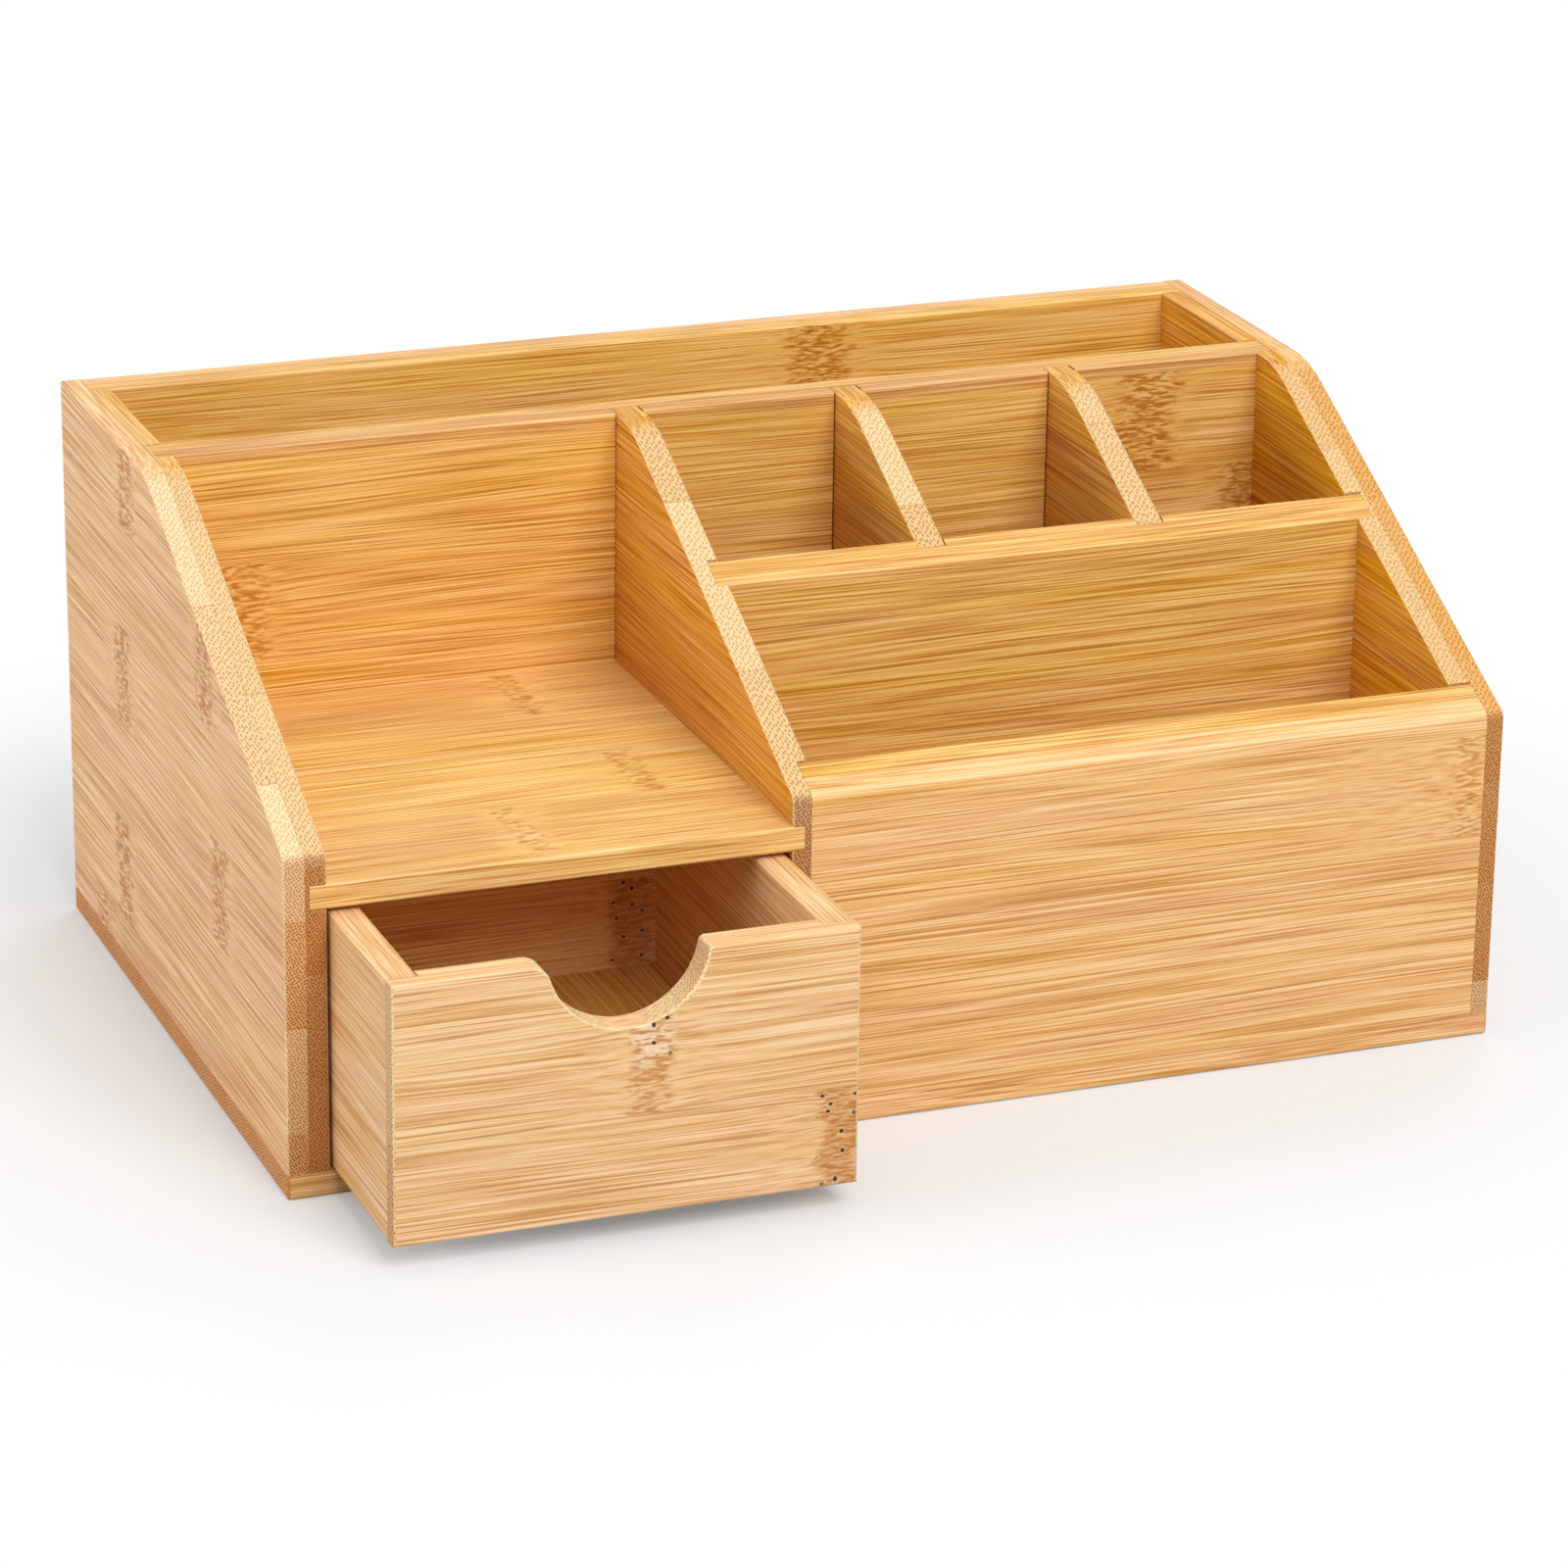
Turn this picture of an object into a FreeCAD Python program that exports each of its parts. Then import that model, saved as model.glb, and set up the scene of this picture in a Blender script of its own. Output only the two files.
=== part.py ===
import FreeCAD, Part
import math
import os

vec = FreeCAD.Vector

# Bamboo desk tidy with one drawer, in millimetres.
# X runs to the right, Y to the back and Z up. The origin is the middle of the base's underside.

# Outside of the carcass
width = 300.0
depth = 190.0
height = 138.0
nose_height = 82.0      # desk to the corner of the upright front edge and the slope
slope_depth = 112.5     # front edge to the corner of the slope and the flat top
nose_round = 2.5        # turn from the front edge into the slope
top_round = 35.0        # gentle turn from the slope into the flat top
edge_round = 0.7        # sanded edges

# Thickness of the boards
base_thickness = 6.0
side_thickness = 10.0
back_thickness = 10.0
letter_thickness = 10.0
front_thickness = 10.0
pen_thickness = 8.0
bay_thickness = 7.0
divider_thickness = 7.0
shelf_thickness = 6.0

# Where the inner boards stand
bay_width = 110.0       # clear width of the drawer bay
bay_height = 63.0       # clear height of the drawer bay
letter_setback = 122.0  # carcass front to the letter partition
pen_setback = 61.5      # carcass front to the pen wall
pen_places = 3          # pen compartments in the row

# Housings, rabbets and the room that glue needs
side_housing = 4.0      # cut into the sides
back_rabbet = 5.0       # cut into the rear edges of the sides
letter_housing = 4.0    # cut into the letter partition
bay_housing = 3.0       # cut into the bay partition
pen_housing = 3.0       # cut into the pen wall
front_lap_side = 5.5    # how far the front panel covers the right side's front edge
front_lap_bay = 2.5     # how far it covers the bay partition's front edge
glue_gap = 0.06         # beside a housed board
end_gap = 0.06          # past the end of a housed board
divider_play = 0.3      # left of a divider's end, where its housing in the letter partition is cut wide
bay_play = 0.15         # the same at the bay partition's end

# Drawer
drawer_pull = 45.0      # how far it stands out of the bay
drawer_side_gap = 0.75
drawer_top_gap = 1.2
drawer_slide_gap = 0.2  # between its lower edges and the base
drawer_rear_gap = 1.0   # left behind it when its front is flush
drawer_front_thickness = 8.0
drawer_side_thickness = 7.5
drawer_back_thickness = 7.5
drawer_bottom_thickness = 4.5
drawer_lip = 4.4        # part of the front's thickness that covers the ends of the drawer sides
drawer_rabbet = 3.5     # cut into the rear ends of the drawer sides
drawer_groove = 3.5     # depth of the groove that holds the bottom
bottom_lift = 6.0       # lower edge of the drawer to its bottom board
notch_radius = 18.75    # half-round finger notch
notch_rise = 2.0        # centre of the notch above the drawer's top edge
notch_left_lip = 5.0    # rounds where the notch meets the top edge
notch_right_lip = 1.5

overrun = 5.0           # how far a cut runs past a face
near = 0.001            # tolerance for finding edges

# Places worked out from the sizes
left = -width / 2
right = width / 2
front = -depth / 2
rear = depth / 2
floor = base_thickness
left_inner = left + side_thickness
right_inner = right - side_thickness
bay_left = left_inner + bay_width
bay_right = bay_left + bay_thickness
letter_front = front + letter_setback
letter_rear = letter_front + letter_thickness
pen_front = front + pen_setback
pen_rear = pen_front + pen_thickness
back_front = rear - back_thickness
front_rear = front + front_thickness
shelf_under = floor + bay_height
shelf_top = shelf_under + shelf_thickness
pen_room = (right_inner - bay_right - (pen_places - 1) * divider_thickness) / pen_places

drawer_left = left_inner + drawer_side_gap
drawer_right = bay_left - drawer_side_gap
drawer_low = floor + drawer_slide_gap
drawer_top = shelf_under - drawer_top_gap
drawer_face = front - drawer_pull
drawer_front_rear = drawer_face + drawer_front_thickness
drawer_tail = letter_front - drawer_rear_gap - drawer_pull
drawer_back_face = drawer_tail - drawer_back_thickness
drawer_left_inner = drawer_left + drawer_side_thickness
drawer_right_inner = drawer_right - drawer_side_thickness
bottom_low = drawer_low + bottom_lift


def box(x, y, z):
    # block between a low and a high limit on each axis
    size = [limits[1] - limits[0] for limits in (x, y, z)]
    return Part.makeBox(size[0], size[1], size[2], vec(x[0], y[0], z[0]))


def grown(limits, room):
    return (limits[0] - room, limits[1] + room)


def rounded_face(corners):
    # flat outline in the YZ plane from (y, z, radius) corners
    turns = []
    for i, (y, z, radius) in enumerate(corners):
        here = vec(0, y, z)
        last = corners[i - 1]
        following = corners[(i + 1) % len(corners)]
        back_way = (vec(0, last[0], last[1]) - here).normalize()
        on_way = (vec(0, following[0], following[1]) - here).normalize()
        half_angle = back_way.getAngle(on_way) / 2
        run = radius / math.tan(half_angle)
        inward = (back_way + on_way).normalize()
        middle = here + inward * (radius / math.sin(half_angle) - radius)
        turns.append((here + back_way * run, middle, here + on_way * run, radius))
    edges = []
    for i, (start, middle, stop, radius) in enumerate(turns):
        if radius > 0:
            edges.append(Part.Arc(start, middle, stop).toShape())
        edges.append(Part.LineSegment(stop, turns[(i + 1) % len(turns)][0]).toShape())
    return Part.Face(Part.Wire(edges))


def profile_board(x, y):
    # board that follows the tidy's sloping outline, between two limits on X and on Y
    corners = [
        (front, floor, 0),
        (front, nose_height, nose_round),
        (front + slope_depth, height, top_round),
        (rear, height, 0),
        (rear, floor, 0),
    ]
    outline = rounded_face(corners)
    outline.translate(vec(x[0], 0, 0))
    whole = outline.extrude(vec(x[1] - x[0], 0, 0))
    return whole.common(box(x, y, (floor, height))).Solids[0]


def lies_at(edge, axis, place):
    # whether an edge lies in the plane across an axis at a place
    bound = edge.BoundBox
    low = {"x": bound.XMin, "y": bound.YMin, "z": bound.ZMin}[axis]
    high = {"x": bound.XMax, "y": bound.YMax, "z": bound.ZMax}[axis]
    return abs(low - place) < near and abs(high - place) < near


def soften(solid, wanted):
    edges = [edge for edge in solid.Edges if wanted(edge)]
    return solid.makeFillet(edge_round, edges).Solids[0]


def soften_profile(solid, x):
    # rounds both edges of a profile board, but not where it stands on the base
    def wanted(edge):
        on_face = lies_at(edge, "x", x[0]) or lies_at(edge, "x", x[1])
        return on_face and not lies_at(edge, "z", floor)
    return soften(solid, wanted)


def housed_board(x, y):
    # profile board that is rounded first and then cut to length, so its ends stay square in their housings
    whole = soften_profile(profile_board(x, (front, rear)), x)
    return whole.common(box(x, y, (floor, height))).Solids[0]


def soften_top(solid, y_places):
    # rounds the upper edges that run along X on the given faces
    def wanted(edge):
        on_face = any(lies_at(edge, "y", place) for place in y_places)
        level = edge.BoundBox.ZLength < near
        return on_face and level and not lies_at(edge, "z", floor)
    return soften(solid, wanted)


def base_board():
    board = box((left, right), (front, rear), (0, base_thickness))
    return soften(board, lambda edge: not lies_at(edge, "z", base_thickness))


def side_panel(x, inner, cuts):
    # profile board with housings; each cut is (depth, y limits, z limits)
    panel = soften_profile(profile_board(x, (front, rear)), x)
    for cut_depth, y, z in cuts:
        if inner == x[1]:
            cut_x = (inner - cut_depth, inner + overrun)
        else:
            cut_x = (inner - overrun, inner + cut_depth)
        panel = panel.cut(box(cut_x, y, z))
    return panel.Solids[0]


full_height = (floor - overrun, height + overrun)
letter_cut = (side_housing, grown((letter_front, letter_rear), glue_gap), full_height)
back_cut = (back_rabbet, (back_front - glue_gap, rear + overrun), full_height)
shelf_cut_z = grown((shelf_under, shelf_top), glue_gap)
shelf_cut_y = (front - overrun, letter_front)
pen_cut_y = grown((pen_front, pen_rear), glue_gap)
front_cut_y = (front - overrun, front_rear + glue_gap)


def left_side_panel():
    shelf_cut = (side_housing, shelf_cut_y, shelf_cut_z)
    return side_panel((left, left_inner), left_inner, [letter_cut, back_cut, shelf_cut])


def right_side_panel():
    pen_cut = (side_housing, pen_cut_y, full_height)
    front_cut = (front_lap_side, front_cut_y, full_height)
    return side_panel((right_inner, right), right_inner, [letter_cut, back_cut, pen_cut, front_cut])


def back_panel():
    reach = back_rabbet - end_gap
    panel = box((left_inner - reach, right_inner + reach), (back_front, rear), (floor, height))
    return soften_top(panel, (back_front, rear))


def divider_places():
    # left and right face of each pen divider
    places = []
    for i in range(1, pen_places):
        start = bay_right + i * pen_room + (i - 1) * divider_thickness
        places.append((start, start + divider_thickness))
    return places


def letter_partition():
    reach = side_housing - end_gap
    board = box((left_inner - reach, right_inner + reach), (letter_front, letter_rear), (floor, height))
    board = soften_top(board, (letter_front, letter_rear))
    cut_y = (letter_front - overrun, letter_front + letter_housing)
    ends = [(bay_left - bay_play, bay_right)]
    ends += [(start - divider_play, stop) for start, stop in divider_places()]
    for start, stop in ends:
        board = board.cut(box((start, stop + glue_gap), cut_y, full_height))
    return board.Solids[0]


def bay_partition():
    x = (bay_left, bay_right)
    end = letter_front + letter_housing - end_gap
    board = housed_board(x, (front, end))
    cuts = [
        box((bay_left - overrun, bay_left + bay_housing), shelf_cut_y, shelf_cut_z),
        box((bay_right - bay_housing, bay_right + overrun), pen_cut_y, full_height),
        box((bay_right - front_lap_bay, bay_right + overrun), front_cut_y, full_height),
    ]
    for cut in cuts:
        board = board.cut(cut)
    return board.Solids[0]


def bay_shelf():
    x = (left_inner - side_housing + end_gap, bay_left + bay_housing - end_gap)
    shelf = box(x, (front, letter_front - glue_gap), (shelf_under, shelf_top))
    return soften(shelf, lambda edge: lies_at(edge, "y", front) and edge.BoundBox.ZLength < near)


def front_panel():
    x = (bay_right - front_lap_bay + end_gap, right_inner + front_lap_side - end_gap)
    return soften_top(profile_board(x, (front, front_rear)), [front_rear])


def pen_wall():
    x = (bay_right - bay_housing + end_gap, right_inner + side_housing - end_gap)
    wall = soften_top(profile_board(x, (pen_front, pen_rear)), (pen_front, pen_rear))
    cut_y = (pen_rear - pen_housing, pen_rear + overrun)
    for place in divider_places():
        wall = wall.cut(box(grown(place, glue_gap), cut_y, full_height))
    return wall.Solids[0]


def pen_divider(x):
    ends = (pen_rear - pen_housing + end_gap, letter_front + letter_housing - end_gap)
    return housed_board(x, ends)


def notch_cutter():
    # half-round notch whose sides turn outwards into the drawer's top edge
    centre_x = (drawer_left + drawer_right) / 2
    centre = vec(centre_x, drawer_face - overrun, drawer_top + notch_rise)
    lips = []
    for way, radius in ((-1, notch_left_lip), (1, notch_right_lip)):
        fall = notch_rise + radius
        lip = centre + vec(way * math.sqrt((notch_radius + radius) ** 2 - fall ** 2), 0, -fall)
        onto_top = lip + vec(0, 0, radius)
        toward = (centre - lip).normalize()
        onto_notch = lip + toward * radius
        halfway = lip + (toward + vec(0, 0, 1)).normalize() * radius
        lips.append((onto_top, halfway, onto_notch))
    bottom = centre - vec(0, 0, notch_radius)
    over = vec(0, 0, overrun)
    (left_top, left_half, left_low), (right_top, right_half, right_low) = lips
    edges = [
        Part.Arc(left_top, left_half, left_low).toShape(),
        Part.Arc(left_low, bottom, right_low).toShape(),
        Part.Arc(right_low, right_half, right_top).toShape(),
        Part.LineSegment(right_top, right_top + over).toShape(),
        Part.LineSegment(right_top + over, left_top + over).toShape(),
        Part.LineSegment(left_top + over, left_top).toShape(),
    ]
    through = vec(0, drawer_front_thickness + 2 * overrun, 0)
    return Part.Face(Part.Wire(edges)).extrude(through)


def bottom_groove():
    # room for the drawer's bottom board, cut from the four boards round it
    x = grown((drawer_left_inner, drawer_right_inner), drawer_groove)
    y = grown((drawer_front_rear, drawer_back_face), drawer_groove)
    z = grown((bottom_low, bottom_low + drawer_bottom_thickness), glue_gap)
    return box(x, y, z)


def drawer_front():
    board = box((drawer_left, drawer_right), (drawer_face, drawer_front_rear), (drawer_low, drawer_top))
    board = board.cut(notch_cutter()).Solids[0]
    notch_bottom = drawer_top + notch_rise - notch_radius

    def wanted(edge):
        rear_rim = lies_at(edge, "y", drawer_front_rear) and edge.BoundBox.ZMin > notch_bottom - near
        rear_rim = rear_rim and edge.BoundBox.XLength > near
        return lies_at(edge, "y", drawer_face) or rear_rim
    board = soften(board, wanted)
    rabbet_y = (drawer_face + drawer_lip, drawer_front_rear + overrun)
    rabbet_z = (drawer_low - overrun, drawer_top + overrun)
    for x in ((drawer_left - overrun, drawer_left_inner), (drawer_right_inner, drawer_right + overrun)):
        board = board.cut(box(grown(x, glue_gap), rabbet_y, rabbet_z))
    return board.cut(bottom_groove()).Solids[0]


def drawer_side(x, inner):
    start = drawer_face + drawer_lip + glue_gap
    side = box(x, (start, drawer_tail), (drawer_low, drawer_top))

    def wanted(edge):
        along = edge.BoundBox.YLength > near
        return along or (lies_at(edge, "y", drawer_tail) and not lies_at(edge, "x", inner))
    side = soften(side, wanted)
    rabbet_x = (inner - drawer_rabbet, inner + drawer_rabbet)
    rabbet_y = (drawer_back_face - glue_gap, drawer_tail + overrun)
    rabbet_z = (drawer_low - overrun, drawer_top + overrun)
    side = side.cut(box(rabbet_x, rabbet_y, rabbet_z))
    return side.cut(bottom_groove()).Solids[0]


def drawer_back():
    reach = drawer_rabbet - end_gap
    x = (drawer_left_inner - reach, drawer_right_inner + reach)
    board = box(x, (drawer_back_face, drawer_tail), (drawer_low, drawer_top))
    board = soften(board, lambda edge: edge.BoundBox.XLength > near)
    return board.cut(bottom_groove()).Solids[0]


def drawer_bottom():
    reach = drawer_groove - end_gap
    x = grown((drawer_left_inner, drawer_right_inner), reach)
    y = grown((drawer_front_rear, drawer_back_face), reach)
    return box(x, y, (bottom_low, bottom_low + drawer_bottom_thickness))


parts = {
    "base_board": base_board(),
    "left_side_panel": left_side_panel(),
    "right_side_panel": right_side_panel(),
    "back_panel": back_panel(),
    "letter_partition": letter_partition(),
    "bay_partition": bay_partition(),
    "bay_shelf": bay_shelf(),
    "front_panel": front_panel(),
    "pen_wall": pen_wall(),
    "drawer_front": drawer_front(),
    "drawer_left_side": drawer_side((drawer_left, drawer_left_inner), drawer_left_inner),
    "drawer_right_side": drawer_side((drawer_right_inner, drawer_right), drawer_right_inner),
    "drawer_back": drawer_back(),
    "drawer_bottom": drawer_bottom(),
}
for i, place in enumerate(divider_places()):
    parts["pen_divider_%d" % (i + 1)] = pen_divider(place)

os.makedirs("parts", exist_ok=True)
for name, shape in parts.items():
    shape.exportStep("parts/%s.step" % name)
    print(name, "valid", shape.isValid(), "solids", len(shape.Solids), "cm3", round(shape.Volume / 1000, 2))
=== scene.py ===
import math
import bpy
import bmesh
from mathutils import Matrix, Vector


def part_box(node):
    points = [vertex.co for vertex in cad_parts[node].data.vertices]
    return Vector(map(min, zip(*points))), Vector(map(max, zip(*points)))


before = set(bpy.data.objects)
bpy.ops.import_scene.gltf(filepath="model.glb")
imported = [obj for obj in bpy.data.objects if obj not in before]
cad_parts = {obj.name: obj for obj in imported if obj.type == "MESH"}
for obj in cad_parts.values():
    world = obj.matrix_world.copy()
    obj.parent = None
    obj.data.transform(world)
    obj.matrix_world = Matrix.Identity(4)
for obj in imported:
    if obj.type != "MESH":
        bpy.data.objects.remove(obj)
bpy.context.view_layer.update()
print("frame loaded with", len(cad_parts), "boards")

millimetre = 0.001
noiseMiddle = 0.5               # a noise wavers about this
smooth = {"interpolation_type": "SMOOTHSTEP"}
inColour = {"data_type": "RGBA"}


def srgb(code):
    # sRGB hex to the linear colour that Blender mixes in
    values = [int(code[i:i + 2], 16) / 255 for i in (1, 3, 5)]
    linear = [v / 12.92 if v <= 0.04045 else ((v + 0.055) / 1.055) ** 2.4 for v in values]
    return (*linear, 1.0)


def addNode(tree, kind, inputs=(), **settings):
    # one shader node with its settings; its inputs come in order, or by name or number,
    # and each gets a value or the node or output that feeds it
    node = tree.nodes.new("ShaderNode" + kind)
    for name, value in settings.items():
        setattr(node, name, value)
    pairs = inputs.items() if isinstance(inputs, dict) else enumerate(inputs)
    for socket, value in pairs:
        if isinstance(value, bpy.types.Node):
            value = value.outputs[0]
        if isinstance(value, bpy.types.NodeSocket):
            tree.links.new(value, node.inputs[socket])
        else:
            node.inputs[socket].default_value = value
    return node


# Bamboo: strips of the culm glued edge to edge and in plies, planed, sanded and lacquered satin.
# The eye gets straight dark fibre bundles on the faces, the same bundles as dots on the ends,
# a change of tone at each strip, and a block of short wavy dashes where a strip crosses a knuckle.
bamboo = {
    "sanded": "#f6dcae",        # worn edge, paler also as a painted highlight where it rounds over
    "glue": "#a8763c",
    "stripWidth": 25.4,         # millimetres from here to relief
    "fibre": (48.0, 0.42),      # length and width, finer on the real thing and drawn so that it shows
    "streak": (200.0, 1.6),
    "band": (80.0, 7.0),
    "lean": (4.0, 130.0, 15.0),     # how far the grain leans, and length and width of what leans as one
    "bundleLength": 48.0,
    "bundleSpacing": 0.78,      # in a strip of the next thickness, and closer in a thinner one
    "bundleStrip": 7.0,
    "glueWidth": 0.16,
    "relief": 0.015,
    "bundleCloser": 0.3,        # power of the thickness that the spacing follows
    "bundleScatter": 0.45,
    "bundleTurn": 0.5,          # radians, so that no row of bundles lies along a face
    "bundleRange": (0.36, 0.16),    # rim and core of a bundle on a face, in spacings
    "waver": (0.0, 0.8, 2.6),   # in spacings along, across and through
    "waverWidth": 1.3,
    "meanTone": 0.58,           # of a face, from 0 for its darkest tint to 1 for its palest
    "fibreTone": 2.9,           # share of each in the tone
    "streakTone": 0.15,
    "bandTone": 0.12,
    "stripTone": 0.45,
    "bundleTone": -0.36,
    "tintStops": (0.35, 0.65),  # tones of the two middle tints
    "patchTone": 0.6,           # share of the strip's tone in its pink and yellow patches
    "patchRange": (0.5, 1.1),
    "patchHue": (0.495, 0.505),
    "patchDepth": (0.95, 1.05),
    "boardMark": 0.37,          # steps of the mark that sets each strip's pattern apart
    "stripMark": 0.618,
    "markSpread": 40.0,
    "broadFace": 0.7,           # how far the normal points through the plies on a broad face
    "wornHighlightRange": (0.25, 0.1),   # how far off that a worn edge with its painted highlight starts and is full
    "wornHighlightShare": 0.35,
    "glueShare": 0.45,
    "bundleSink": -0.6,
    "bumpStrength": 0.5,
    "roughFrom": (0.2, 0.8),    # fibre tones that the roughness follows
    "roughness": (0.44, 0.58),
    "gloss": 0.3,               # of satin lacquer
    "ior": 1.45,
}

# Ends of the boards, cut on the slant or square
ends = {
    "slopeDot": "#aa681a",      # fibre bundle cut on the slant
    "squareDot": "#64340e",     # fibre bundle cut square
    "pale": "#f5dcae",          # end of a strip with few bundles
    "faceRange": (0.12, 0.4),   # how far the normal points along the grain, from a face to an end
    "squareRange": (0.5, 0.95),     # and from a slanted end to a square one
    "paleRange": (0.4, 0.7),    # strip tones from plain to pale
    "palest": (0.8, 0.45),      # share of the pale tone at most, slanted and square
    "paleRise": 0.08,           # more of it at the strip's upper edge
    "dotRange": (0.4, 0.18),    # rim and core of a dot, in spacings
    "dotShare": (0.95, 0.3),    # how strong a dot is on a plain strip and on a pale one
}

# Knuckles, where a strip crosses a joint of the culm
knuckles = {
    "stain": "#b46a14",
    # a pit is painted this dark as the shade in its hole
    "shadedPit": "#4a2810",
    "pithAndHighlight": "#f7e6cc",          # bare in an open knuckle, and the painted highlight on a pit's rim
    "spacing": 262.0,           # millimetres from here to mostReach
    "dash": (9.0, 0.7),         # length and width of the short strokes beside a knuckle
    "crumb": (3.2, 0.75),       # and of the wavy strokes in it
    "curl": (1.8, 18.0, 5.0),   # how far the grain curls beside it, and length and width of a curl
    "raggedWidth": 2.0,
    "pitSpacing": 5.0,
    "mostHalf": 10.0,           # half widths and reaches are kept as shares of these
    "mostReach": 100.0,
    "nearRagged": 2.2,          # in half widths, as the borders are
    "nearBorder": (0.0, 0.6),
    "farRagged": 2.8,
    "farBorder": (2.8, 2.1),
    "crumbTwist": 0.4,
    "crumbRange": (0.35, 0.65),
    "crumbTones": (0.15, 0.9),
    "dashRange": (0.36, 0.54),
    "dashTones": (0.05, 0.85),
    "dashShare": 0.65,
    "stainRange": (0.57, 0.39),
    "evenStain": 0.15,          # stain between the strokes
    "openStain": 0.4,           # and what an open knuckle adds to it
    "openFade": 0.2,            # share of the strip's width over which a knuckle opens
    "bareRange": (0.44, 0.54),
    "pitScatter": 0.8,
    "pitRange": (0.14, 0.07),   # rim and core of a pit, in pit spacings; the pit is painted dark as the shade in its hole
    # a pit's pale rim is a painted highlight
    "rimHighlightRange": (0.24, 0.12),
    "rimHighlightShare": 0.2,
    "pitSink": -2.0,
}

# How brown a knuckle is, how far down its strip it is open, half its width and how far its dashes reach
knuckleLooks = {
    "plain": (0.7, 0.0, 6.5, 18),
    "pitted": (0.75, 1.0, 5.4, 34),
    "open": (0.45, 0.5, 5.0, 30),
    "dashed": (0.3, 0.0, 4.5, 60),
    "golden": (0.9, 0.0, 8.0, 24),
    "thin": (0.5, 0.0, 3.0, 14),
}

# Tones of a ply: its face from a dark bundle to the palest fibre, its end cut on the slant and cut square
# gold, amber and toffee go on plies that face into the compartments and are deeper partly for their own tone
# and partly as painted shade, amber and toffee most, on faces that turn left
tints = {
    "honey": ("#c88b4b", "#e2ab69", "#ecba7a", "#f7cd98", "#dba456", "#cc8a48"),
    "wheat": ("#c88d42", "#e2ae62", "#ecbe72", "#f7d28c", "#e0b478", "#c48446"),
    "straw": ("#ca9257", "#e2b078", "#ecbf8a", "#f6d1a4", "#e0b478", "#d8a068"),
    "blond": ("#c68a52", "#e3ab74", "#efbd88", "#fdd6a8", "#e0b886", "#d8985a"),
    "gold": ("#bb7f32", "#d9a04f", "#e3af5d", "#f0c67d", "#daab6d", "#c48040"),
    "russet": ("#c88b4b", "#e2ab69", "#ecba7a", "#f7cd98", "#c4823c", "#dc9248"),
    "amberShaded": ("#b66c12", "#d68e20", "#e09e2c", "#eeb650", "#d1a052", "#b27840"),
    "toffeeShaded": ("#b26c24", "#d29036", "#dca042", "#eab662", "#d7ae6e", "#b88048"),
}

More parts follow.
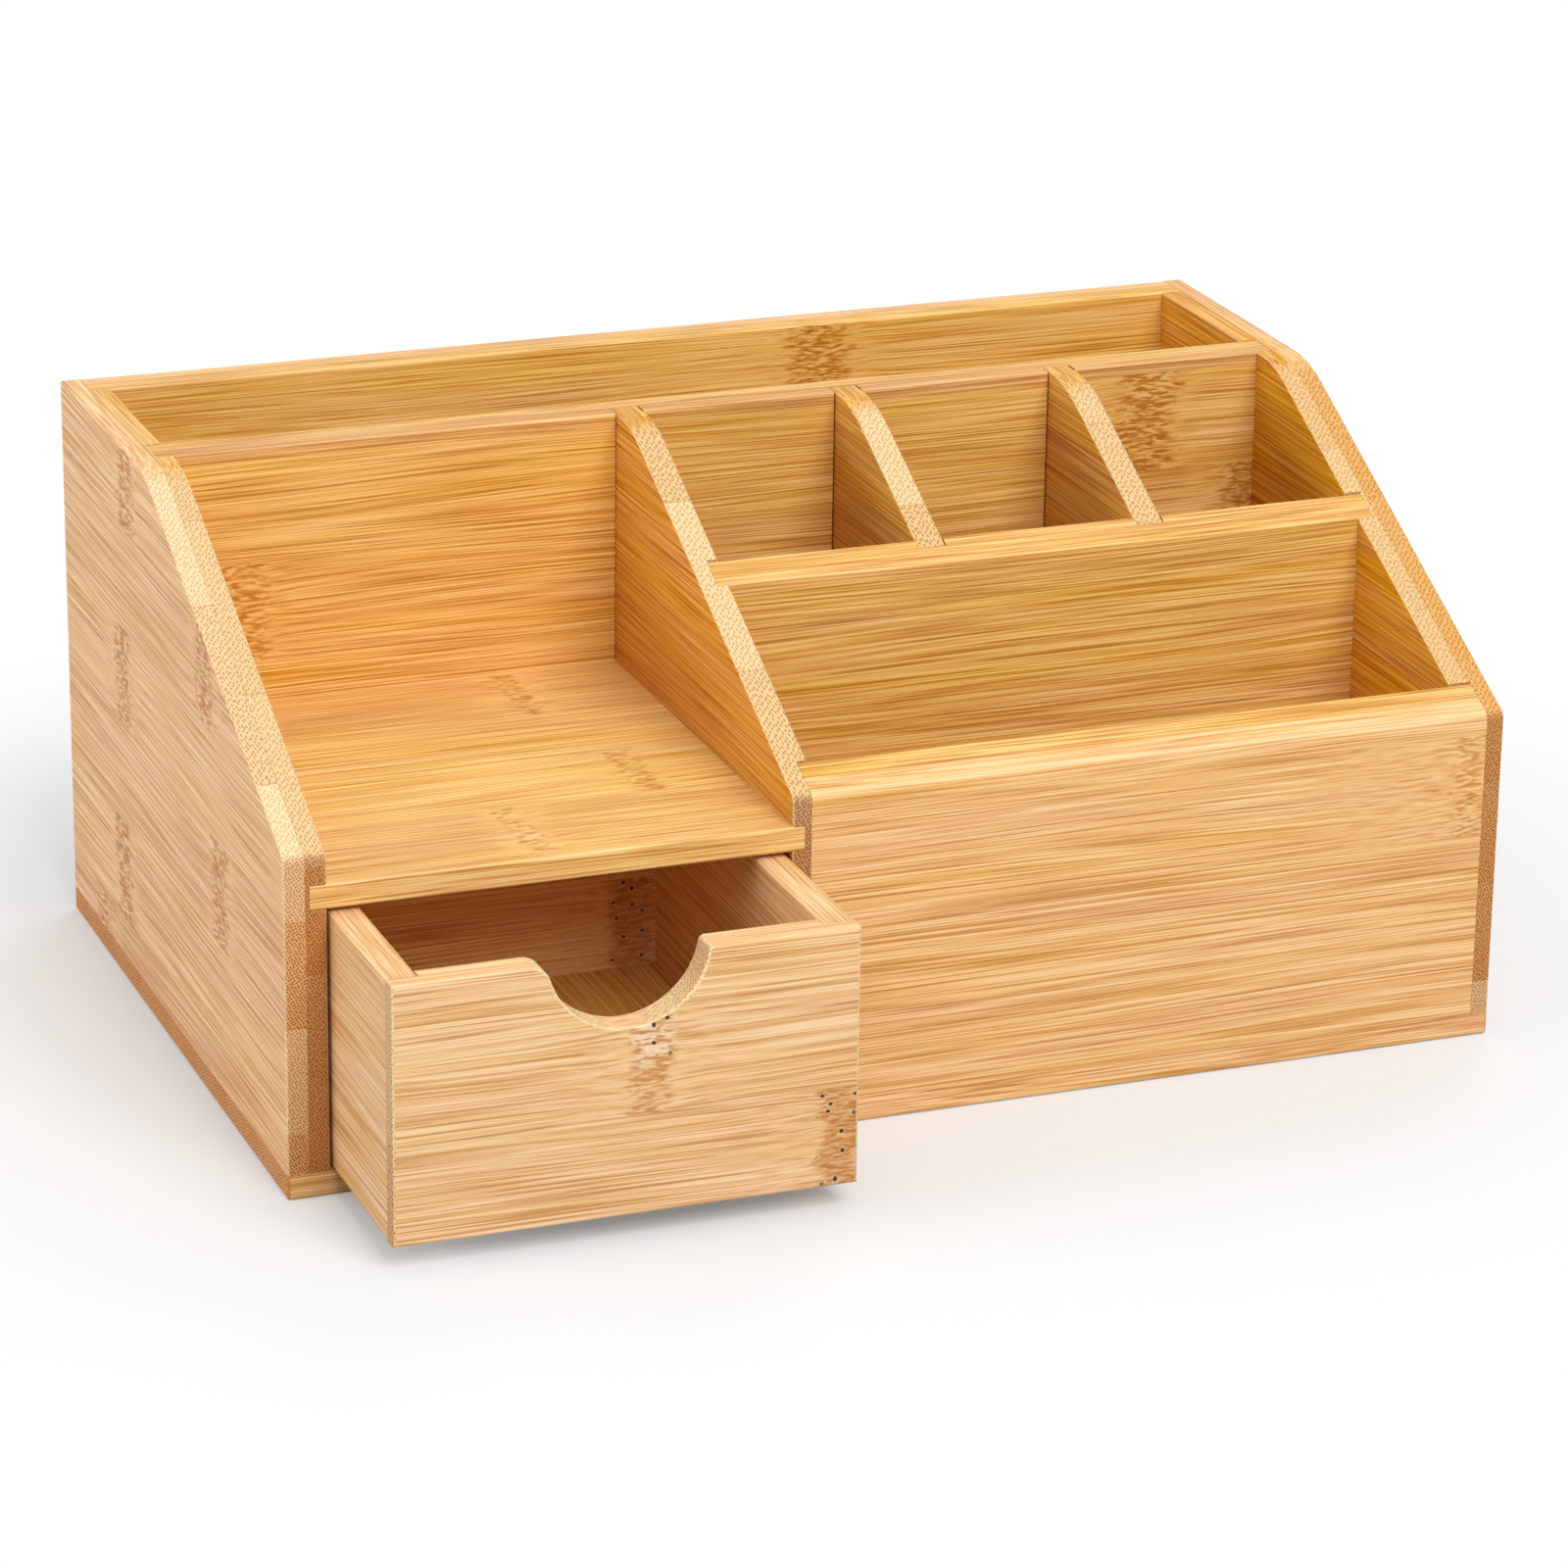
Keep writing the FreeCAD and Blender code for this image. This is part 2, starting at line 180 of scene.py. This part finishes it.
# Each board has its axes along the grain, across the strips and through the plies. Each ply has its tint,
# the place of its first seam, and its strips from below that seam up: tone from -1 to 1, and where
# a knuckle is, and which. Two plies are glued in the middle, and glueAt is the level of another glued face.
boards = {
    # the base's strips are dark, the front one partly as painted shade beside and under the drawer
    "base_board": {"axes": "xyz", "glueAt": 6, "plies": [
        ("russet", -70, [(-0.2,), (-0.2,), (-0.3,), (-0.2,), (-0.3,), (-0.2,), (-0.25,), (-0.2,)])]},
    # the inner ply's lower strips are darker than its upper ones, partly as painted shade that the drawer
    # casts on the panel's front edge
    "left_side_panel": {"axes": "yzx", "plies": [
        ("blond", 16, [(-0.3, 63), (0.25, 43), (-0.1, -43), (0.3, 41), (0, -33), (0.3, 34)]),
        ("gold", 3, [(0,), (-0.2,), (-0.15,), (-0.2,), (0.1,), (0.1,), (0.1,)])]},
    "right_side_panel": {"axes": "yzx", "plies": [
        ("amberShaded", 22, [(0,), (0.1,), (0,), (0.05,), (0.1,), (0.05,)]),
        ("honey", 14, [(0.2,), (-0.2, -52), (-0.25, 48), (-0.2, -15), (-0.3, 62), (-0.2, 30)])]},
    "back_panel": {"axes": "xzy", "plies": [
        ("gold", 20, [(0,), (0.2,), (-0.1,), (0.1,), (0,), (0.4, 44, "golden")]),
        ("honey", 27, [(0.1, 80), (0, -75), (-0.2, 35), (0.2, -110), (-0.1, 70), (0.1,)])]},
    "letter_partition": {"axes": "xzy", "plies": [
        ("gold", 8, [(0,), (0.2,), (-0.1,), (0.1,), (-0.1, -125), (0.1, 108, "golden"), (-0.9,)]),
        ("gold", 20, [(0.1,), (-0.1,), (0.2,), (0,), (-0.2,), (0.1,)])]},
    "bay_partition": {"axes": "yzx", "plies": [
        ("toffeeShaded", 24, [(0,), (0.2,), (-0.2,), (0,), (0.2,), (0,)])]},
    "bay_shelf": {"axes": "xyz", "strip": 29, "plies": [
        ("wheat", -91, [(-0.3,), (-0.5, -89, "thin"), (0.4, -52, "thin"), (0.1,), (-0.6, -61, "thin"),
                        (0,)])]},
    "front_panel": {"axes": "xzy", "plies": [
        ("honey", 26.5, [(0,), (0,), (0.1, 141, "dashed"), (0.3,)]),
        ("gold", 15, [(0,), (0.2,), (-0.2,), (0.1,)])]},
    "pen_wall": {"axes": "xzy", "plies": [
        ("gold", 1.4, [(0,), (0,), (0.2,), (-0.2,), (0.1,), (-0.2,)])]},
    "pen_divider_1": {"axes": "yzx", "plies": [
        ("toffeeShaded", 20, [(0,), (0.2,), (-0.2,), (0.1,), (-0.1,), (0.2,)])]},
    "pen_divider_2": {"axes": "yzx", "plies": [
        ("toffeeShaded", 4, [(0.1,), (-0.2,), (0.1,), (0.2,), (-0.1,), (0,), (0.1,)])]},
    "drawer_front": {"axes": "xzy", "plies": [
        ("straw", 30, [(-0.1, -35.5, "pitted"), (0.2, -81, "open"), (0.3,)])]},
    "drawer_left_side": {"axes": "yzx", "plies": [
        ("straw", 22, [(0,), (0.2,), (-0.1,)])]},
    "drawer_right_side": {"axes": "yzx", "plies": [
        ("straw", 28, [(-0.2,), (-0.2,), (0.2,)])]},
    "drawer_back": {"axes": "xzy", "plies": [
        ("honey", 14, [(0,), (-0.2, -45.5, "pitted"), (0.1,), (0,)])]},
    "drawer_bottom": {"axes": "yxz", "plies": [
        ("gold", -118, [(0.1,), (-0.2,), (0.2,), (0,), (0.1,)])]},
}


def stripTable(tree, share, rows):
    # one step of four values for each strip
    table = addNode(tree, "ValToRGB", [share])
    table.color_ramp.interpolation = "CONSTANT"
    steps = table.color_ramp.elements
    steps.remove(steps[1])
    for i, row in enumerate(rows):
        step = steps[0] if i == 0 else steps.new(i / len(rows))
        step.color = row
    return table


def bambooMaterial(name, board, seed):
    low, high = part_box(name)
    start = low / millimetre
    size = (high - low) / millimetre
    grain, across, through = ["xyz".index(axis) for axis in board["axes"]]
    plies = board["plies"]
    thickness = size[through] / len(plies)
    stripWidth = board.get("strip", bamboo["stripWidth"])
    spacing = bamboo["bundleSpacing"] * (thickness / bamboo["bundleStrip"]) ** bamboo["bundleCloser"]
    material = bpy.data.materials.new("lacquered_bamboo_" + name)
    material.use_nodes = True
    tree = material.node_tree
    tree.nodes.clear()

    # the board's own millimetres
    coords = addNode(tree, "TexCoord")
    local = addNode(tree, "Mapping", {
        "Vector": coords.outputs["Object"], "Location": -start, "Scale": (1 / millimetre,) * 3})
    axes = addNode(tree, "SeparateXYZ", [local])
    along, over, deep = axes.outputs[grain], axes.outputs[across], axes.outputs[through]

    # how squarely the surface cuts the grain, and whether it is a broad face
    geometry = addNode(tree, "NewGeometry")
    normal = addNode(tree, "SeparateXYZ", [geometry.outputs["Normal"]])
    intoGrain = addNode(tree, "Math", [normal.outputs[grain]], operation="ABSOLUTE")
    endFace = addNode(tree, "MapRange", [intoGrain, *ends["faceRange"]], **smooth)
    square = addNode(tree, "MapRange", [intoGrain, *ends["squareRange"]], **smooth)
    longFace = addNode(tree, "Math", [1.0, endFace], operation="SUBTRACT")
    flat = addNode(tree, "Math", [normal.outputs[through]], operation="ABSOLUTE")
    broadFace = addNode(tree, "Math", [flat, bamboo["broadFace"]], operation="GREATER_THAN")

    # which ply and which strip the point is in
    seams = [seam - start[across] for tint, seam, strips in plies]
    plyEdge = thickness if len(plies) == 2 else 2 * thickness   # outside a board of one ply
    ply = addNode(tree, "Math", [deep, plyEdge], operation="GREATER_THAN")
    toZero = addNode(tree, "Math", [ply, seams[0] - seams[-1], -seams[0]], operation="MULTIPLY_ADD")
    fromSeam = addNode(tree, "Math", [over, toZero], operation="ADD")
    strip = addNode(tree, "Math", [fromSeam, stripWidth], operation="DIVIDE")
    upStrip = addNode(tree, "Math", [strip], operation="FRACT")
    strip = addNode(tree, "Math", [strip], operation="FLOOR")
    strip = addNode(tree, "Math", [ply, len(plies[0][2]), strip], operation="MULTIPLY_ADD")
    rows = []
    looks = []
    for tint, seam, strips in plies:
        for tone, *knuckle in strips:
            place = (knuckle[0] - start[grain]) / size[grain] if knuckle else 0.0
            stain, opened, half, reach = knuckleLooks[knuckle[1] if len(knuckle) > 1 else "plain"]
            mark = (seed * bamboo["boardMark"] + len(rows) * bamboo["stripMark"]) % 1
            rows.append((place, (tone + 1) / 2, mark, 1.0 if knuckle else 0.0))
            looks.append((stain, opened, half / knuckles["mostHalf"], reach / knuckles["mostReach"]))
    # the strip below the first seam has the first row, and half a row more hits the middle of a step
    share = addNode(tree, "Math", [strip, 1 / len(rows), 1.5 / len(rows)], operation="MULTIPLY_ADD")
    table = stripTable(tree, share, rows)
    knucklePlace, tone, mark = addNode(tree, "SeparateColor", [table]).outputs
    hasKnuckle = table.outputs["Alpha"]
    table = stripTable(tree, share, looks)
    stain, opened, half = addNode(tree, "SeparateColor", [table]).outputs
    half = addNode(tree, "Math", [half, knuckles["mostHalf"]], operation="MULTIPLY")
    reach = addNode(tree, "Math", [table.outputs["Alpha"], knuckles["mostReach"]], operation="MULTIPLY")

    # a knuckle comes again along its strip, has ragged borders and shows on broad faces
    fromKnuckle = addNode(tree, "Math", [knucklePlace, -size[grain], along], operation="MULTIPLY_ADD")
    around = knuckles["spacing"] / 2
    fromKnuckle = addNode(tree, "Math", [fromKnuckle, around, -around], operation="WRAP")
    markShift = addNode(tree, "Math", [mark, bamboo["markSpread"]], operation="MULTIPLY")
    raggedPlace = addNode(tree, "CombineXYZ", [markShift, over, deep])
    ragged = addNode(tree, "TexNoise", {
        "Vector": raggedPlace, "Scale": 1 / knuckles["raggedWidth"], "Detail": 3.0})
    inHalves = addNode(tree, "Math", [fromKnuckle, half], operation="DIVIDE")
    near = addNode(tree, "Math", [ragged, knuckles["nearRagged"], inHalves], operation="MULTIPLY_ADD")
    near = addNode(tree, "MapRange", [near, *knuckles["nearBorder"], 0.0, hasKnuckle], **smooth)
    far = addNode(tree, "Math", [ragged, knuckles["farRagged"], inHalves], operation="MULTIPLY_ADD")
    far = addNode(tree, "MapRange", [far, *knuckles["farBorder"]], **smooth)
    core = addNode(tree, "Math", [near, far], operation="MULTIPLY")
    core = addNode(tree, "Math", [core, broadFace], operation="MULTIPLY")
    fromKnuckle = addNode(tree, "Math", [fromKnuckle], operation="ABSOLUTE")
    halo = addNode(tree, "MapRange", [fromKnuckle, reach, half, 0.0, hasKnuckle], **smooth)

    # the grain leans a little, each strip in its own way, and curls beside a knuckle
    shift = addNode(tree, "CombineXYZ", [markShift, markShift, markShift])
    straight = addNode(tree, "CombineXYZ", [along, over, deep])
    beside = addNode(tree, "Math", [halo, longFace], operation="MULTIPLY")
    leaning = over
    for (most, long, wide), part in ((bamboo["lean"], longFace), (knuckles["curl"], beside)):
        place = addNode(tree, "VectorMath", [straight, (1 / long, 1 / wide, 1 / wide), shift],
                        operation="MULTIPLY_ADD")
        bend = addNode(tree, "TexNoise", {"Vector": place, "Scale": 1.0, "Detail": 0.0})
        bend = addNode(tree, "Math", [bend, noiseMiddle], operation="SUBTRACT")
        bend = addNode(tree, "Math", [bend, part], operation="MULTIPLY")
        leaning = addNode(tree, "Math", [bend, most, leaning], operation="MULTIPLY_ADD")
    cells = addNode(tree, "CombineXYZ", [along, leaning, deep])

    # noises that run with the grain, each as long and as wide as its pattern
    patterns = [
        (bamboo["bundleLength"], bamboo["waverWidth"] * spacing),
        knuckles["dash"],
        knuckles["crumb"],
        bamboo["fibre"],
        bamboo["streak"],
        bamboo["band"],
    ]
    noises = []
    for long, wide in patterns:
        place = addNode(tree, "VectorMath", [cells, (1 / long, 1 / wide, 1 / wide), shift],
                        operation="MULTIPLY_ADD")
        noises.append(addNode(tree, "TexNoise", {"Vector": place, "Scale": 1.0, "Detail": 1.0}))
    slow, dash, crumb, fibre, streak, band = noises
    crumb.inputs["Distortion"].default_value = knuckles["crumbTwist"]

    # bundles waver in and out of a face
    waver = addNode(tree, "VectorMath", [slow.outputs["Color"], (noiseMiddle,) * 3], operation="SUBTRACT")
    waver = addNode(tree, "VectorMath", [waver, bamboo["waver"]], operation="MULTIPLY")
    waver = addNode(tree, "VectorMath", {0: waver, "Scale": longFace}, operation="SCALE")
    bundlePlace = addNode(tree, "VectorMath", [cells, (0.0, 1 / spacing, 1 / spacing), waver],
                          operation="MULTIPLY_ADD")
    bundlePlace = addNode(tree, "Mapping", {
        "Vector": bundlePlace, "Rotation": (bamboo["bundleTurn"], 0.0, 0.0)})
    bundlePlace = addNode(tree, "VectorMath", [bundlePlace, shift], operation="ADD")
    turned = addNode(tree, "SeparateXYZ", [bundlePlace])
    bundlePlace = addNode(tree, "CombineXYZ", [turned.outputs["Y"], turned.outputs["Z"]])
    distance = addNode(tree, "TexVoronoi", {
        "Vector": bundlePlace, "Scale": 1.0, "Randomness": bamboo["bundleScatter"]}, voronoi_dimensions="2D")
    bundle = addNode(tree, "MapRange", [distance, *bamboo["bundleRange"]], **smooth)

    # tone of a face, and its colour, which wanders between pink and yellow
    toneParts = {"fibreTone": fibre, "streakTone": streak, "bandTone": band, "stripTone": tone}
    value = bamboo["meanTone"] - noiseMiddle * sum(bamboo[kind] for kind in toneParts)
    for kind, part in toneParts.items():
        value = addNode(tree, "Math", [part, bamboo[kind], value], operation="MULTIPLY_ADD")
    value = addNode(tree, "Math", [bundle, bamboo["bundleTone"], value], operation="MULTIPLY_ADD")
    dashTone = addNode(tree, "MapRange", [dash, *knuckles["dashRange"], *knuckles["dashTones"]])
    dashed = addNode(tree, "Math", [beside, knuckles["dashShare"]], operation="MULTIPLY")
    value = addNode(tree, "Mix", {"Factor": dashed, 2: value, 3: dashTone})
    crumbTone = addNode(tree, "MapRange", [crumb, *knuckles["crumbRange"], *knuckles["crumbTones"]])
    value = addNode(tree, "Mix", {"Factor": core, 2: value, 3: crumbTone})
    faces = []
    for tint, seam, strips in plies:
        ramp = addNode(tree, "ValToRGB", [value])
        for stop in bamboo["tintStops"]:
            ramp.color_ramp.elements.new(stop)
        for stop, code in zip(ramp.color_ramp.elements, tints[tint]):
            stop.color = srgb(code)
        faces.append(ramp)
    face = addNode(tree, "Mix", {"Factor": ply, 6: faces[0], 7: faces[-1]}, **inColour)
    patch = addNode(tree, "SeparateColor", [band.outputs["Color"]])
    patch = addNode(tree, "Math", [tone, bamboo["patchTone"], patch.outputs[1]], operation="MULTIPLY_ADD")
    hue = addNode(tree, "MapRange", [patch, *bamboo["patchRange"], *bamboo["patchHue"]])
    depth = addNode(tree, "MapRange", [patch, *bamboo["patchRange"], *bamboo["patchDepth"]])
    face = addNode(tree, "HueSaturation", {"Hue": hue, "Saturation": depth, "Color": face.outputs[2]})
    face = face.outputs[0]

    # knuckle: brown strokes, and where it is open bare pith, and pits painted dark as the shade in the hole
    # with rims painted pale as a highlight
    even = addNode(tree, "Math", [opened, knuckles["openStain"], knuckles["evenStain"]],
                   operation="MULTIPLY_ADD")
    stained = addNode(tree, "MapRange", [crumb, *knuckles["stainRange"], even, 1.0])
    stained = addNode(tree, "Math", [stained, core], operation="MULTIPLY")
    stained = addNode(tree, "Math", [stained, stain], operation="MULTIPLY")
    fade = knuckles["openFade"]
    openFrom = addNode(tree, "Math", [opened, -1 - fade, 1.0], operation="MULTIPLY_ADD")
    openTo = addNode(tree, "Math", [openFrom, fade], operation="ADD")
    openCore = addNode(tree, "MapRange", [upStrip, openFrom, openTo, 0.0, core], **smooth)
    sound = addNode(tree, "Math", [1.0, opened], operation="SUBTRACT")
    bare = addNode(tree, "MapRange", [crumb, *knuckles["bareRange"], 0.0, openCore])
    bare = addNode(tree, "Math", [bare, sound], operation="MULTIPLY")
    pitPlace = addNode(tree, "VectorMath", [cells, (1 / knuckles["pitSpacing"],) * 3, shift],
                       operation="MULTIPLY_ADD")
    toPit = addNode(tree, "TexVoronoi", {
        "Vector": pitPlace, "Scale": 1.0, "Randomness": knuckles["pitScatter"]}, voronoi_dimensions="2D")
    # painted highlight on the rim of each pit
    rimHighlight = addNode(tree, "MapRange", [toPit, *knuckles["rimHighlightRange"], 0.0, openCore], **smooth)
    rimHighlight = addNode(tree, "Math", [rimHighlight, knuckles["rimHighlightShare"]], operation="MULTIPLY")
    # painted shade in each pit, which the bump also sinks
    shadedPit = addNode(tree, "MapRange", [toPit, *knuckles["pitRange"], 0.0, openCore], **smooth)
    for part, shade in ((stained, "stain"), (bare, "pithAndHighlight"), (rimHighlight, "pithAndHighlight"), (shadedPit, "shadedPit")):
        face = addNode(tree, "Mix", {"Factor": part, 6: face, 7: srgb(knuckles[shade])}, **inColour)
        face = face.outputs[2]

    # ends: dark bundles as dots, on strips that are paler or darker and that pale towards their upper edge
    cuts = []
    for tint, seam, strips in plies:
        slanted, squared = tints[tint][4:]
        cut = addNode(tree, "Mix", {"Factor": square, 6: srgb(slanted), 7: srgb(squared)}, **inColour)
        cuts.append(cut.outputs[2])
    end = addNode(tree, "Mix", {"Factor": ply, 6: cuts[0], 7: cuts[-1]}, **inColour)
    palest = addNode(tree, "MapRange", [square, 0.0, 1.0, *ends["palest"]])
    pale = addNode(tree, "MapRange", [tone, *ends["paleRange"], 0.0, palest])
    pale = addNode(tree, "Math", [upStrip, ends["paleRise"], pale], operation="MULTIPLY_ADD")
    end = addNode(tree, "Mix", {"Factor": pale, 6: end.outputs[2], 7: srgb(ends["pale"])}, **inColour)
    dots = addNode(tree, "MapRange", [distance, *ends["dotRange"]], **smooth)
    dotted = addNode(tree, "MapRange", [pale, 0.0, 1.0, *ends["dotShare"]])
    dots = addNode(tree, "Math", [dots, dotted], operation="MULTIPLY")
    dot = addNode(tree, "Mix", {
        "Factor": square, 6: srgb(ends["slopeDot"]), 7: srgb(ends["squareDot"])}, **inColour)
    end = addNode(tree, "Mix", {"Factor": dots, 6: end.outputs[2], 7: dot.outputs[2]}, **inColour)
    colour = addNode(tree, "Mix", {"Factor": endFace, 6: face, 7: end.outputs[2]}, **inColour)

    # glue lines between strips and between plies
    toSeam = addNode(tree, "Math", [fromSeam, stripWidth / 2], operation="PINGPONG")
    toPly = addNode(tree, "Math", [deep, board.get("glueAt", plyEdge)], operation="SUBTRACT")
    toPly = addNode(tree, "Math", [toPly], operation="ABSOLUTE")
    toGlue = addNode(tree, "Math", [toSeam, toPly], operation="MINIMUM")
    glue = addNode(tree, "MapRange", [toGlue, bamboo["glueWidth"], 0.0, 0.0, bamboo["glueShare"]], **smooth)
    colour = addNode(tree, "Mix", {"Factor": glue, 6: colour.outputs[2], 7: srgb(bamboo["glue"])}, **inColour)

    # edges are sanded through to paler fibre, and painted paler still as a highlight where they round over
    offEdge = addNode(tree, "Math", [flat, bamboo["broadFace"]], operation="SUBTRACT")
    offEdge = addNode(tree, "Math", [offEdge], operation="ABSOLUTE")
    wornAndHighlight = addNode(tree, "MapRange", [offEdge, *bamboo["wornHighlightRange"], 0.0, bamboo["wornHighlightShare"]])
    colour = addNode(tree, "Mix", {
        "Factor": wornAndHighlight, 6: colour.outputs[2], 7: srgb(bamboo["sanded"])}, **inColour)

    # satin lacquer that sinks into the bundles
    height = addNode(tree, "Math", [bundle, bamboo["bundleSink"], fibre], operation="MULTIPLY_ADD")
    height = addNode(tree, "Math", [shadedPit, knuckles["pitSink"], height], operation="MULTIPLY_ADD")
    bump = addNode(tree, "Bump", {
        "Strength": bamboo["bumpStrength"], "Distance": bamboo["relief"] * millimetre, "Height": height})
    rough = addNode(tree, "MapRange", [fibre, *bamboo["roughFrom"], *bamboo["roughness"]])
    surface = addNode(tree, "BsdfPrincipled", {
        "Base Color": colour.outputs[2], "Roughness": rough, "Specular IOR Level": bamboo["gloss"],
        "IOR": bamboo["ior"], "Normal": bump})
    addNode(tree, "OutputMaterial", {"Surface": surface})
    return material


for seed, (name, board) in enumerate(boards.items()):
    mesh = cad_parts[name].data
    mesh.materials.clear()
    mesh.materials.append(bambooMaterial(name, board, seed))
print("bamboo on", len(boards), "boards")


# Studio: white paper sweep under soft light from above, in metres
studio = {
    "floorSize": 30.0,
    "floorDrop": 0.0001,        # below the base, so that the two don't meet
    "floorColour": "#e5e7e9",
    "floorBounce": "#b4b4b4",   # the floor as it lights the tidy
    "glowNear": 0.2,            # share of plain white in the floor beside the tidy
    "glowFrom": 0.14,           # how far from the middle it starts to grow
    "glowTo": 0.33,             # and where the floor is plain white
    "zenith": 0.65,             # light from straight above
    "horizon": 0.28,            # light from the sides
    "white": 1.0,               # strength that shows as plain white
}

# A broad key from the front, a softbox behind and a low card on the left, in metres and watts
lampAim = (0.0, 0.0, 0.07)
lamps = {
    "key_softbox": {"place": (0.28, -2.05, 2.0), "size": (1.6, 1.6), "power": 61.0},
    "back_softbox": {"place": (1.1, 1.3, 2.0), "size": (1.0, 1.0), "power": 9.0},
    "left_card": {"place": (-2.1, 0.1, 0.6), "size": (1.2, 0.6), "power": 16.0},
}


def addSeen(tree):
    # 1 for what the camera sees, straight or in a gloss or through something clear
    rays = addNode(tree, "LightPath").outputs
    seen = addNode(tree, "Math", [rays["Is Camera Ray"], rays["Is Glossy Ray"]], operation="MAXIMUM")
    return addNode(tree, "Math", [seen, rays["Is Transmission Ray"]], operation="MAXIMUM")


def makeFloor():
    mesh = bpy.data.meshes.new("studio_floor")
    shape = bmesh.new()
    bmesh.ops.create_grid(shape, x_segments=1, y_segments=1, size=studio["floorSize"] / 2)
    shape.to_mesh(mesh)
    shape.free()
    floor = bpy.data.objects.new("studio_floor", mesh)
    bpy.context.scene.collection.objects.link(floor)
    floor.location.z = -studio["floorDrop"]
    material = bpy.data.materials.new("white_paper_sweep")
    material.use_nodes = True
    tree = material.node_tree
    tree.nodes.clear()
    seen = addSeen(tree)
    shade = addNode(tree, "Mix", {
        "Factor": seen, 6: srgb(studio["floorBounce"]), 7: srgb(studio["floorColour"])}, **inColour)
    paper = addNode(tree, "BsdfDiffuse", {"Color": shade.outputs[2]})
    white = addNode(tree, "Emission", {"Strength": studio["white"]})
    coords = addNode(tree, "TexCoord")
    away = addNode(tree, "VectorMath", [coords.outputs["Object"]], operation="LENGTH").outputs["Value"]
    glow = addNode(tree, "MapRange", [
        away, studio["glowFrom"], studio["glowTo"], studio["glowNear"], 1.0], **smooth)
    glow = addNode(tree, "Math", [glow, seen], operation="MULTIPLY")
    sweep = addNode(tree, "MixShader", [glow, paper, white])
    addNode(tree, "OutputMaterial", {"Surface": sweep})
    mesh.materials.append(material)


def makeWorld():
    world = bpy.data.worlds.new("white_studio")
    world.use_nodes = True
    tree = world.node_tree
    tree.nodes.clear()
    coords = addNode(tree, "TexCoord")
    rise = addNode(tree, "SeparateXYZ", [coords.outputs["Generated"]]).outputs["Z"]
    light = addNode(tree, "MapRange", [rise, 0.0, 1.0, studio["horizon"], studio["zenith"]])
    strength = addNode(tree, "Mix", {"Factor": addSeen(tree), 2: light, 3: studio["white"]})
    sky = addNode(tree, "Background", {"Color": (1.0, 1.0, 1.0, 1.0), "Strength": strength})
    addNode(tree, "OutputWorld", {"Surface": sky})
    bpy.context.scene.world = world


def makeLamp(name, place, size, power):
    lamp = bpy.data.lights.new(name, "AREA")
    lamp.shape = "RECTANGLE"
    lamp.size, lamp.size_y = size
    lamp.energy = power
    holder = bpy.data.objects.new(name, lamp)
    holder.location = place
    aim = Vector(lampAim) - holder.location
    holder.rotation_euler = aim.to_track_quat("-Z", "Y").to_euler()
    bpy.context.scene.collection.objects.link(holder)


makeFloor()
makeWorld()
for name, lamp in lamps.items():
    makeLamp(name, **lamp)

# Camera at the photograph's own viewpoint
view = {
    "azimuth": -21.071,         # degrees, 0 looks along +Y
    "elevation": 20.302,
    "roll": 0.813,
    "distance": 1.445948,       # metres from the pivot
    "pivot": (0.0, -0.005, 0.05),
    "slide": (0.002182, 0.000358),      # metres to the right and up
    "focalPixels": 6071.365,
    "imagePixels": 1600,
    "sensor": 36.0,             # millimetres
    "clip": (0.01, 100.0),      # metres
}


def makeCamera():
    turn, rise, roll = [math.radians(view[name]) for name in ("azimuth", "elevation", "roll")]
    back = Vector((math.sin(turn) * math.cos(rise), -math.cos(turn) * math.cos(rise), math.sin(rise)))
    level = Vector((math.cos(turn), math.sin(turn), 0))
    upright = back.cross(level)
    right = level * math.cos(roll) + upright * math.sin(roll)
    up = upright * math.cos(roll) - level * math.sin(roll)
    sideways, upwards = view["slide"]
    place = Vector(view["pivot"]) + right * sideways + up * upwards + back * view["distance"]
    lens = bpy.data.cameras.new("photo_camera")
    lens.sensor_width = view["sensor"]
    lens.lens = view["focalPixels"] / view["imagePixels"] * view["sensor"]
    lens.clip_start, lens.clip_end = view["clip"]
    camera = bpy.data.objects.new("photo_camera", lens)
    turned = Matrix((right, up, back)).transposed().to_4x4()
    camera.matrix_world = Matrix.Translation(place) @ turned
    bpy.context.scene.collection.objects.link(camera)
    bpy.context.scene.camera = camera


makeCamera()
bpy.context.scene.view_settings.view_transform = "Standard"
print("studio and camera ready")
